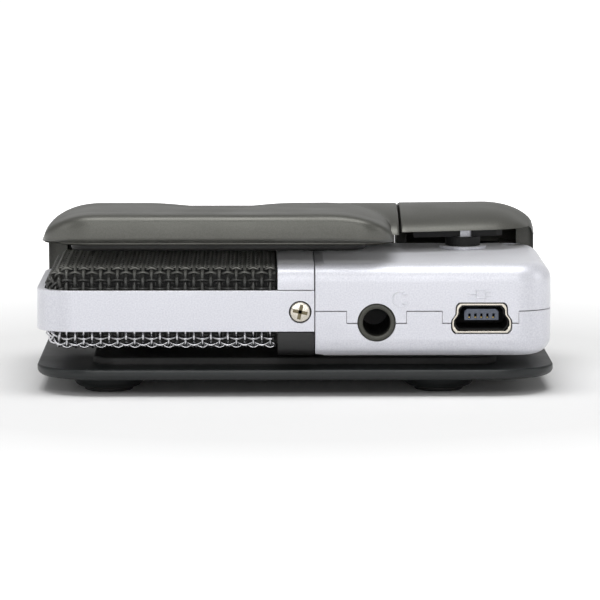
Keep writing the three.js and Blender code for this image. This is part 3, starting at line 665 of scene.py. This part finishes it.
def jaw_loop(x, kind):
    """A section of the lobe and the beam behind it."""
    roof = jaw_roof(x)
    beam = jaw_beam(roof)
    y0 = lobe_front_edge(x)
    near = 3.6 * rounding((x - 4.0) / (LOBE_RIGHT - 4.0))
    crease = y0 + FACE
    floor_z = JAW_RIM + 0.22
    top = max(roof(crease) - near - 0.02, floor_z)
    height = top - JAW_RIM
    under = [(2.0, 0.0), (1.25, 0.07), (0.62, 0.14), (0.2, 0.2), (0.0, 0.27)]
    front = [(y0 + dy, JAW_RIM + height * dz) for dy, dz in under]
    low = front[-1][1]
    turns = [math.pi / 2 * (i / 11) for i in range(12)]
    face = []
    for a in turns:
        y = y0 + FACE * (1 - math.cos(a) ** FACE_POWER)
        face.append((y, low + (top - low) * math.sin(a) ** FACE_POWER))
    front += face[1:-1] + [(crease - 0.12, top - 0.03 * height / 4), (crease + 0.12, top)]
    for i in range(1, 9):
        y = crease + 0.12 + (-6.95 - crease - 0.12) * i / 8
        front.append((y, max(roof(y) - near, floor_z)))
    for y, z in beam:
        front.append((y, max(roof(y) - near, z, JAW_RIM + 0.02)))
    shift = smooth((-24.0 - x) / 10.3)
    rear = REAR - 4.2 * rounding((-29.8 - x) / 4.5)
    fall = 4.3 * rounding((-26.3 - x) / 8.0)
    loop = clip_loop(x, front, roof, kind, JAW_RIM, fall, rear)
    return [(px + 0.65 * shift * smooth((14 - y) / 14), y, z) for px, y, z in loop]


def strip_loop(x, shrink, count):
    """A section of the stretch between the lobe and the arm."""
    roof = jaw_roof(x)
    beam = [(y + shrink, z - shrink * i / 19) for i, (y, z) in enumerate(jaw_beam(roof))]
    front = [beam[0]] * (count - len(beam)) + beam
    lowered = lambda y: roof(y) - shrink
    return clip_loop(x, front, lowered, "end", JAW_RIM, 0.0, REAR - shrink)


def clip_jaw():
    loops = [jaw_loop(x, kind) for x, kind in stations(JAW_SPANS, 0.45)]
    front_count = 5 + 10 + 2 + 8 + 20
    loops += [strip_loop(x, shrink, front_count) for x, shrink in STRIP_EDGE]
    return piece(loft("clip_jaw_shell", loops), "jaw", "gunmetal", ["clip_jaw"], angle=42)


# Arm
ARM_RIM = 20.4
ARM_LEFT, ARM_RIGHT = 14.4, 34.1
ARM_SPANS = (
    (15.8, 22.2, "knuckle"), (22.2, 29.3, "arm_slot"), (29.3, 31.6, "knuckle"), (31.6, ARM_RIGHT, "end"),
)
ARM_EDGE = ((ARM_LEFT, 0.26), (14.45, 0.13), (14.55, 0.05), (14.7, 0.0), (15.2, 0.0), (15.8, 0.0))


def arm_front_edge(x):
    """The y of the front edge of the arm: a slant, then a round corner."""
    if x < 27.5:
        return -6.5 + 3.3 * (x - ARM_LEFT) / 13.1
    u = math.sqrt(max(ARM_RIGHT - x, 0) / 6.6)
    return -3.2 * u * u - 3.2 * u * (1 - u) + 6.5 * (1 - u) ** 2


def arm_loop(x, kind, shrink=0.0):
    """A section of the arm, whose right end leans inwards towards its front."""
    fall = 4.1 * rounding((x - 26.0) / 8.1)
    y0 = arm_front_edge(x) + shrink
    crest = CREST_Y + 0.55 * (arm_front_edge(x) + 6.5)
    top = 23.3 - 0.02 * (crest - CREST_Y)

    def roof(y):
        return top - 0.0045 * max(y - crest, 0) - 0.0082 * max(y - crest, 0) ** 2 - fall - shrink

    rim = min(ARM_RIM, roof(crest) - 0.3)
    ctrl = (y0 + 1.3, rim + 0.7 * (roof(crest) - rim))
    front = bezier((y0, rim), ctrl, (crest, roof(crest)), 24)
    rear = REAR - 4.2 * rounding((x - 29.6) / 4.5) - shrink
    loop = clip_loop(x, front, roof, kind, rim, fall, rear)
    return [(px - 0.0625 * (REAR - y) * smooth((x - 24) / 10), y, z) for px, y, z in loop]


def mic_arm():
    loops = [arm_loop(x, "end", shrink) for x, shrink in ARM_EDGE]
    loops += [arm_loop(x, kind) for x, kind in stations(ARM_SPANS, 0.35)]
    return piece(loft("mic_arm_shell", loops), "arm", "gunmetal", ["mic_arm"], angle=42)


def jaw_pad():
    low, high = corners("jaw_grip_pad")
    outline = lambda inset: rounded(low[0], high[0], low[1], high[1], (3,) * 4, inset, steps=8)
    pad = slab("jaw_pad_block", outline, low[2], high[2], 0.5, 0.2)
    piece(pad, "jaw", "rubber", ["jaw_grip_pad"])


clip_jaw()
mic_arm()
jaw_pad()

# -------------------- microphone
low_half, high_half = corners("housing_lower")[0], corners("housing_upper")[1]
MIC_RIGHT, MIC_BACK, MIC_TOP = high_half
MIC_BOTTOM, MIC_FRONT = low_half[2], low_half[1]
MIC_LEFT = corners("head_band")[0][0]
SEAM = 2.5
SPLIT, STEP_SPLIT = 11.4, 9.8
GAP = 0.14
STEP_GAP = 0.06
EDGE = 2.4
SKIN = 1.3
CORNER = 5  # plan corners of the body
JACK_X, JACK_Z = 10.65, 9.9
JACK_R, JACK_BORE = 2.5, 1.8
USB_X = 24.5
HOUSING_SCREWS = ((6, 5), (30.4, 5))
LENS_X, LENS_Y, LENS_HOLE = 17, -9, 1.06
HEAD_SCREW_X, HEAD_SCREW_Z, HEAD_SCREW_R = 0.58, 11.3, 1.35
CROSS_LONG, CROSS_SHORT = 0.72, 0.17  # arms of a cross recess, as shares of the head's radius
COLLAR_LEFT = -2.4


def mic_outline(left, left_inner):
    """The plan outline of the whole body, cut off at x = left, and at left_inner inside the wall."""
    def outline(inset):
        side = left if inset < SKIN - 0.01 else left_inner
        return rounded(MIC_LEFT, MIC_RIGHT, MIC_FRONT, MIC_BACK, (CORNER,) * 4, inset, left=side, steps=10)
    return outline


def half_shell(name, part, crown):
    """A housing half: from the parting height out to its crown, hollow inside."""
    up = 1 if crown > part else -1
    inner = quarter(SKIN, crown - up * EDGE, SKIN + 1.2, crown - up * SKIN, 5)
    outer = quarter(0, crown - up * EDGE, EDGE, crown, 9)
    profile = list(reversed(inner)) + [(SKIN, part), (0, part)] + outer
    return rings(name, mic_outline(SEAM + GAP / 2, SEAM + 1.2), profile)


def usb_outline(grow):
    """The mini-USB outline: a wide foot, a short shoulder and a narrower head, with rounded corners."""
    low, high = corners("usb_shell")
    half, half_top = (high[0] - low[0]) / 2 + grow, 3.32 + grow
    z0, z1 = low[2] - grow, high[2] + grow
    shoulder = low[2] + 1.65
    right = [(half - 0.5, z0), (half, z0 + 0.5), (half, shoulder - 0.1), (half - 0.08, shoulder + 0.15)]
    right += [(half_top + 0.08, shoulder + 0.7), (half_top, shoulder + 0.95)]
    right += [(half_top, z1 - 0.45), (half_top - 0.45, z1)]
    smoothed = rounded_path(right)
    return [(USB_X + x, z) for x, z in smoothed] + [(USB_X - x, z) for x, z in reversed(smoothed)]


def rounded_path(points):
    """Chaikin's corner cutting, which keeps both ends."""
    for _ in range(2):
        cut = [points[0]]
        for (xa, za), (xb, zb) in zip(points, points[1:]):
            cut.append((0.75 * xa + 0.25 * xb, 0.75 * za + 0.25 * zb))
            cut.append((0.25 * xa + 0.75 * xb, 0.25 * za + 0.75 * zb))
        points = cut + [points[-1]]
    return points


def port_cutters():
    jack = lathe("jack_hole", [(JACK_R + 0.04, -24), (JACK_R + 0.04, -19)], (JACK_X, 0, JACK_Z), "y", 64)
    usb = prism_y("usb_hole", usb_outline(0.14), -24, -19)
    slot = box("switch_slot", 8.2, 15.8, 7, 10, 9.6, 12)
    return [jack, usb, slot]


def housings():
    """Both halves, with the parting line that steps down beside the sockets."""
    steps = ((6.7, 14.6), (19.3, 29.4))
    upper = half_shell("housing_upper_shell", SPLIT + GAP / 2, MIC_TOP)
    lower = half_shell("housing_lower_shell", SPLIT - GAP / 2, MIC_BOTTOM)
    for x0, x1 in steps:
        tab_sides = (x0 + STEP_GAP / 2, x1 - STEP_GAP / 2)
        tab = box("tab", *tab_sides, MIC_FRONT, MIC_FRONT + SKIN, STEP_SPLIT + GAP / 2, SPLIT + 0.4)
        boolean(upper, tab, "UNION")
        notch_sides = (x0 - STEP_GAP / 2, x1 + STEP_GAP / 2)
        notch = box("notch", *notch_sides, MIC_FRONT - 1, MIC_FRONT + SKIN + 0.2, STEP_SPLIT - GAP / 2, 12)
        boolean(lower, notch)
    for shell in (upper, lower):
        for cutter in port_cutters():
            boolean(shell, cutter)
    for x, y in HOUSING_SCREWS:
        boolean(upper, lathe("screw_hole", [(1.75, MIC_TOP - 0.8), (1.75, MIC_TOP + 1)], (x, y, 0)))
    boolean(lower, lathe("lens_hole", [(LENS_HOLE, 4), (LENS_HOLE, 7)], (LENS_X, LENS_Y, 0)))
    piece(upper, "mic", "silver", ["housing_upper"], angle=30)
    piece(lower, "mic", "silver", ["housing_lower"], angle=30)


def collars():
    """The two bridges between the head and the housing, silver above and black below."""
    for name, part, crown, material in (
        ("collar_upper", 14.2, MIC_TOP, "silver"),
        ("collar_lower", 8.6, MIC_BOTTOM, "black_plastic"),
    ):
        up = 1 if crown > part else -1
        arc = quarter(0, crown - up * EDGE, EDGE, crown, 9)
        outer = [(MIC_FRONT + inset, z) for inset, z in [(0, part)] + arc]
        outer += [(MIC_BACK - inset, z) for inset, z in reversed([(0, part)] + arc)]
        inner = [(MIC_BACK - SKIN, part), (MIC_BACK - SKIN - 1, crown - up * SKIN)]
        inner += [(MIC_FRONT + SKIN + 1, crown - up * SKIN), (MIC_FRONT + SKIN, part)]
        loops = [[(x, y, z) for y, z in outer + inner] for x in (COLLAR_LEFT, SEAM - GAP / 2)]
        piece(loft(name + "_bridge", loops), "mic", material, [name], angle=30, bevel=0.12)


def head_band():
    """The flat silver band round the head, open towards the housing."""
    low, high = corners("head_band")
    bevel = 0.05
    z0, z1, thick = low[2], high[2], 1.0
    profile = [(bevel, z0), (0, z0 + bevel), (0, z1 - bevel), (bevel, z1)]
    profile += [(thick - bevel, z1), (thick, z1 - bevel), (thick, z0 + bevel), (thick - bevel, z0)]
    loops = []
    for inset, z in profile:
        path = rounded(MIC_LEFT, 60, MIC_FRONT, MIC_BACK, (CORNER, 1, 1, CORNER), inset, steps=16)
        left_back, left_front = path[51:], path[:17]
        right = high[0]
        line = [(right, left_back[0][1])] + left_back + left_front + [(right, left_front[-1][1])]
        loops.append([(x, y, z) for x, y in line])
    columns = [list(column) for column in zip(*loops)]
    band = loft("head_band_strip", columns)
    hole = lathe("hole", [(1.5, -25), (1.5, 15)], (HEAD_SCREW_X, 0, HEAD_SCREW_Z), "y", 48)
    boolean(band, hole)
    piece(band, "mic", "silver", ["head_band"], angle=30)


def weave_point(u, v, core, radius, crown, up, lift):
    """Folds the flat sheet (u, v) over the pan: flat over the core, rounded past its edge, then upright."""
    (x0, x1), (y0, y1) = core
    qx, qy = min(max(u, x0), x1), min(max(v, y0), y1)
    dx, dy = u - qx, v - qy
    t = math.hypot(dx, dy)
    if t < 1e-9:
        return (qx, qy, crown + up * lift)
    dx, dy = dx / t, dy / t
    a = min(t / radius, math.pi / 2)
    out = radius * math.sin(a) + lift * math.sin(a)
    fall = radius * (1 - math.cos(a)) + max(t - radius * math.pi / 2, 0)
    return (qx + dx * out, qy + dy * out, crown - up * fall + up * lift * math.cos(a))


def woven_pan(name, core, radius, crown, rim, pitch, wire, ropes, sides=6, samples=6):
    """A woven wire cap: two crossed sets of wires that pass over and under each other."""
    up = 1 if crown > rim else -1
    reach = radius * math.pi / 2 + max(abs(crown - rim) - radius, 0)
    (x0, x1), (y0, y1) = core
    sway = wire * 0.62
    tubes = []

    def run(fixed, across, sign):
        """The wire at u = fixed (across) or v = fixed, as far as the sheet goes."""
        low, high = (y0 - reach, y1 + reach) if across else (x0 - reach, x1)
        edge = max((x0 if across else y0) - fixed, fixed - (x1 if across else y1), 0)
        spare = math.sqrt(max(reach ** 2 - edge ** 2, 0))
        if across:
            low, high = y0 - spare, y1 + spare
        else:
            low = x0 - spare
        count = max(int((high - low) / pitch * samples), 2)
        path = []
        for i in range(count + 1):
            s = low + (high - low) * i / count
            lift = sign * sway * math.cos(math.pi * s / pitch)
            u, v = (fixed, s) if across else (s, fixed)
            path.append(weave_point(u, v, core, radius, crown, up, lift))
        return tube("wire", path, (ropes if across else wire) / 2, sides)

    first, last = math.ceil((x0 - reach) / pitch), math.floor(x1 / pitch)
    for i in range(first, last + 1):
        tubes.append(run(i * pitch, True, -1 if i % 2 else 1))
    first, last = math.ceil((y0 - reach) / pitch), math.floor((y1 + reach) / pitch)
    for j in range(first, last + 1):
        tubes.append(run(j * pitch, False, 1 if j % 2 else -1))
    return joined(name, tubes)


def grilles():
    """The two woven caps, each with a finer dark weave behind it."""
    for node, material, radius, crown, wire in (
        ("grille_upper", "black_mesh", 2.3, 17.0, 0.36),
        ("grille_lower", "chrome_mesh", 2.2, 6.1, 0.34),
    ):
        low, high = corners(node)
        rim = low[2] if material == "black_mesh" else high[2]
        up = 1 if material == "black_mesh" else -1
        side = radius + wire
        core = ((low[0] + side, high[0] - 0.2), (low[1] + side, high[1] - side))
        ropes = 0.5 if up == 1 else wire
        cap = woven_pan(node + "_weave", core, radius, crown - up * wire, rim, 1.12, wire, ropes)
        deeper = crown - up * (wire + 0.4)
        backing = woven_pan(node + "_backing", core, radius - 0.4, deeper, rim, 0.74, 0.2, 0.2, 4, 4)
        for layer, kind in ((cap, material), (backing, "black_mesh")):
            layer.data.polygons.foreach_set("use_smooth", [True] * len(layer.data.polygons))
            layer.data.materials.append(MATERIALS[kind])
            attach(layer, "mic")
        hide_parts(node)


def cross(centre, y0, y1):
    """The two arms of a cross recess, a little turned, from y0 to y1."""
    cx, cz = centre
    arms = []
    for long, short in ((CROSS_LONG, CROSS_SHORT), (CROSS_SHORT, CROSS_LONG)):
        half_x, half_z = HEAD_SCREW_R * long, HEAD_SCREW_R * short
        arm = box("arm", cx - half_x, cx + half_x, y0, y1, cz - half_z, cz + half_z)
        arm.data.transform(tilt_about(cx, cz, 12))
        arms.append(arm)
    return arms


def screw_head(name, y, facing, node):
    """A domed screw head with a cross recess, whose crown looks along facing times Y."""
    cx, cy, cz = HEAD_SCREW_X, y, HEAD_SCREW_Z
    radius = HEAD_SCREW_R
    profile = [(radius * 0.5, 3.0), (radius * 0.5, 0.5), (radius, 0.45), (radius, 0.2), (radius * 0.93, 0.07)]
    profile += [(radius * 0.72, 0.0), (0.05, -0.03)]
    head = lathe(name, [(r, cy - facing * h) for r, h in profile], (cx, 0, cz), "y", 48)
    for arm in cross((cx, cz), cy - 0.45, cy + 0.45):
        boolean(head, arm)
    piece(head, "mic", "nickel", [node], angle=35)
    # A dark insert at the bottom of the cross: painted shade in the recess.
    floor_near, floor_far = sorted((cy - facing * 0.14, cy - facing * 0.3))
    recess = joined(name + "_recess", cross((cx, cz), floor_near, floor_far))
    piece(recess, "mic", "painted_recess_shade", slot="nickel")


def tilt_about(cx, cz, degrees):
    centre = Vector((cx, 0, cz)) * MM
    turn = Matrix.Rotation(math.radians(degrees), 4, "Y")
    return Matrix.Translation(centre) @ turn @ Matrix.Translation(-centre)


def sockets():
    """The mini-USB shell with its tongue and contacts, and the ring of the headphone socket."""
    low, high = corners("usb_shell")
    outer, inner = usb_outline(0), usb_outline(-0.27)
    front, back = low[1], high[1]
    loops = [[(x, back, z) for x, z in outer], [(x, front + 0.05, z) for x, z in outer]]
    loops += [[(x, front, z) for x, z in usb_outline(-0.04)], [(x, front, z) for x, z in usb_outline(-0.23)]]
    loops += [[(x, front + 0.05, z) for x, z in inner], [(x, back - 0.4, z) for x, z in inner]]
    piece(loft("usb_shell_can", loops), "mic", "nickel", ["usb_shell"], angle=40)
    # A near-black sleeve just inside the shell's walls: painted shade that darkens the inside of the socket.
    shade_sleeve_path = ((back - 0.45, -0.36), (front + 0.6, -0.36), (front + 0.6, -0.46), (back - 0.9, -0.46))
    shade_sleeve = loft("usb_shade_sleeve", [[(x, y, z) for x, z in usb_outline(grow)] for y, grow in shade_sleeve_path])
    piece(shade_sleeve, "mic", "painted_shade_black", slot="black_plastic")
    low, high = corners("usb_tongue")
    x0, x1, z0, z1 = low[0], high[0], low[2], high[2]
    face = [(x0, z0), (x1, z0), (x1, z1 - 0.35), (x1 - 0.35, z1), (x0 + 0.35, z1), (x0, z1 - 0.35)]
    tongue = prism_y("usb_tongue_block", face, low[1], high[1])
    for k in range(5):
        x = USB_X + (k - 2) * 0.79
        boolean(tongue, box("slot", x - 0.15, x + 0.15, low[1] - 1, high[1] - 1, z0 + 0.22, z0 + 0.85))
        contact_name = f"usb_contact_{k + 1}"
        contact = box(contact_name, x - 0.1, x + 0.1, low[1] + 0.5, high[1] - 1.2, z0 + 0.26, z0 + 0.36)
        piece(contact, "mic", "gold", slot="nickel")
    piece(tongue, "mic", "tongue", ["usb_tongue"], angle=35, bevel=0.04)

    low, high = corners("jack_collar")
    y0, y1 = low[1], high[1]
    profile = [(JACK_R, y1), (JACK_R, y0 + 0.18), (JACK_R - 0.08, y0 + 0.05), (JACK_R - 0.22, y0)]
    profile += [(JACK_BORE + 0.18, y0), (JACK_BORE + 0.04, y0 + 0.06), (JACK_BORE, y0 + 0.2), (JACK_BORE, y1)]
    ring = lathe("jack_collar_ring", profile, (JACK_X, 0, JACK_Z), "y", 72, ring=True)
    piece(ring, "mic", "olive_metal", ["jack_collar"], angle=40)


def marks():
    """Small raised signs: a headphone outline by its socket, and a plain plug by the other."""
    y = MIC_FRONT - 0.01
    x, z, r = 13.72, 13.06, 1.0
    turns = np.linspace(0.32 * math.pi, 1.68 * math.pi, 24)
    arc = [(x + r * math.cos(a), y, z + r * math.sin(a)) for a in turns]
    cups = [tube("cup", [(x + 0.3, y, z + s * 0.6), (x + 0.95, y, z + s * 0.6)], 0.13, 8) for s in (-1, 1)]
    sign = joined("headphone_mark", [tube("arc", arc, 0.1, 8)] + cups)
    piece(sign, "mic", "silver", slot="silver")
    x, z = 24.25, 13.72
    lines = [[(x - 1.7, y, z), (x - 0.5, y, z)], [(x + 0.75, y, z + 0.28), (x + 1.4, y, z + 0.28)]]
    lines.append([(x + 0.75, y, z - 0.28), (x + 1.4, y, z - 0.28)])
    x0, x1, z0, z1 = x - 0.5, x + 0.7, z - 0.55, z + 0.55
    frame_line = [(x0, y, z0), (x1, y, z0), (x1, y, z1), (x0, y, z1)]
    parts = [tube("line", line, 0.1, 8) for line in lines] + [tube("frame", frame_line, 0.1, 8, closed=True)]
    piece(joined("plug_mark", parts), "mic", "silver", slot="silver")


housings()
collars()
head_band()
grilles()
screw_head("head_screw_near_head", MIC_FRONT + 0.02, -1, "head_screw_near")
screw_head("head_screw_far_head", MIC_BACK - 0.02, 1, "head_screw_far")
sockets()
marks()
